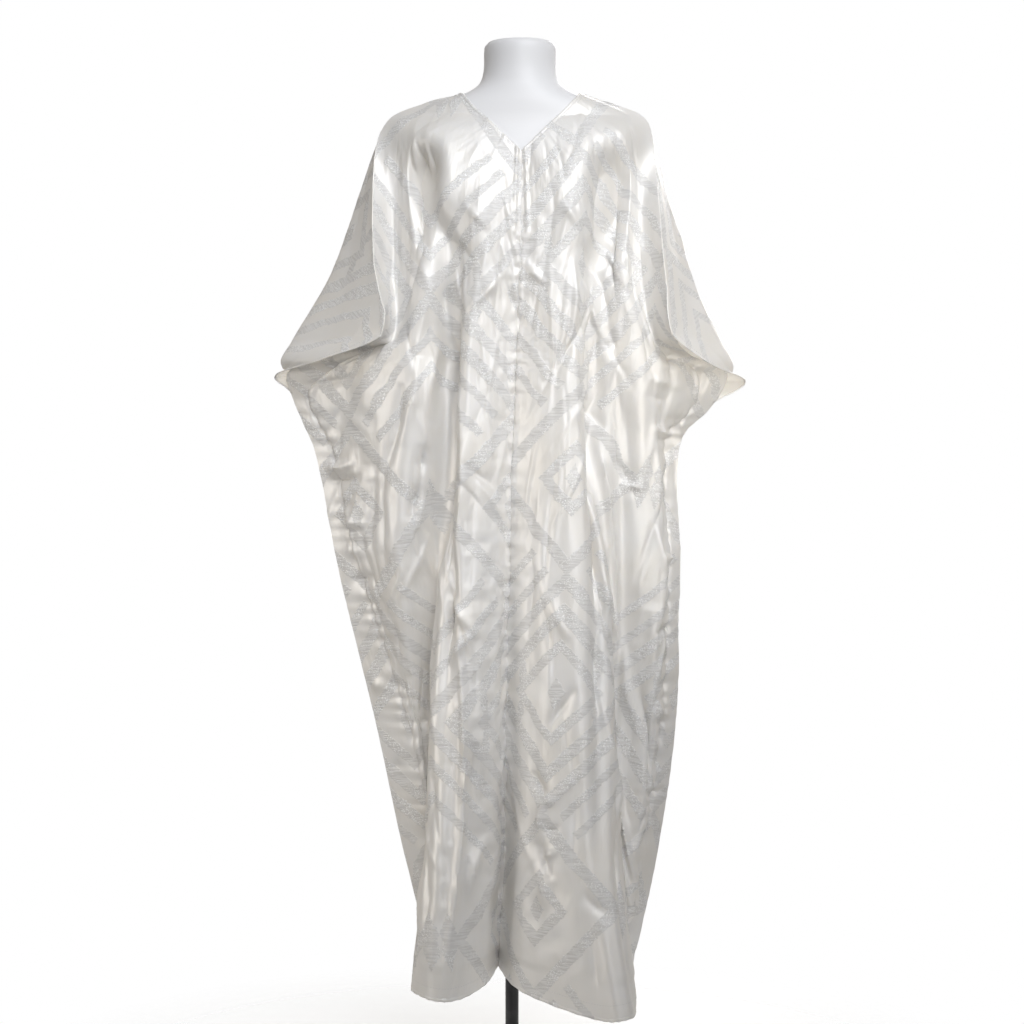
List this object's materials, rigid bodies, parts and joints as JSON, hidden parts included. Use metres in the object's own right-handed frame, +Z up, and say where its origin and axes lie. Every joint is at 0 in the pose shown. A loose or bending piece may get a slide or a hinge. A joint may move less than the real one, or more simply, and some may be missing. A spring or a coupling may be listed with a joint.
{
  "type": "kaftan on a dress form",
  "caption": "Long loose V-neck kaftan with wide cut-in-one sleeves, worn by a limbless dress form on a pole with a round foot.",
  "frame": {"origin": "middle of the round foot's underside, on the floor, on the axis of the pole", "axes": "+Z up along the pole, the front of the kaftan faces -Y, the wearer's left is +X"},
  "size_m": [0.7425, 0.3759, 1.632],
  "materials": {
    "brocade": "ivory and silver satin brocade",
    "form_shell": "smooth white",
    "stand_metal": "dark grey satin metal"
  },
  "bodies": {
    "root": {"front_right": "brocade", "front_left": "brocade", "back": "brocade", "form_body": "form_shell", "stand_foot": "stand_metal", "stand_pole": "stand_metal", "stand_collar": "stand_metal"}
  },
  "joints": []
}
